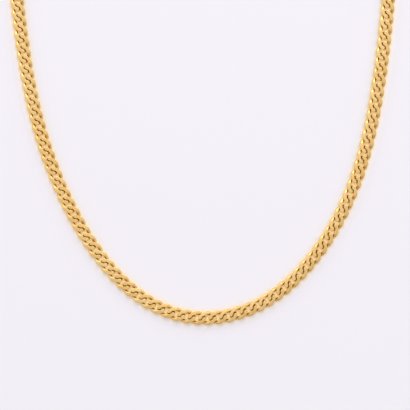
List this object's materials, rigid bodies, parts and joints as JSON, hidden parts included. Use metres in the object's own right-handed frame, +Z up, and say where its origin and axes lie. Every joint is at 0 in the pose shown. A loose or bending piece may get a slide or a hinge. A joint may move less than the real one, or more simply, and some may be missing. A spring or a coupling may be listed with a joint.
{
  "type": "curb chain necklace",
  "caption": "Closed necklace of twisted, interlocking curb links filed flat on both sides, with a plain bar clasp at the back, lying flat in a long oval loop.",
  "frame": {"origin": "middle of the loop's box, on the surface that the necklace lies on", "axes": "+Z up, out of the chain's face; +Y from the front of the necklace to the clasp at the back; +X to the right as the picture shows it"},
  "size_m": [0.1204, 0.1659, 0.0022],
  "materials": {
    "chain_gold": "yellow gold colour, filed flat and polished",
    "clasp_gold": "yellow gold colour, polished"
  },
  "bodies": {
    "root": {"chain_left": "chain_gold", "chain_right": "chain_gold", "clasp": "clasp_gold"}
  },
  "joints": []
}
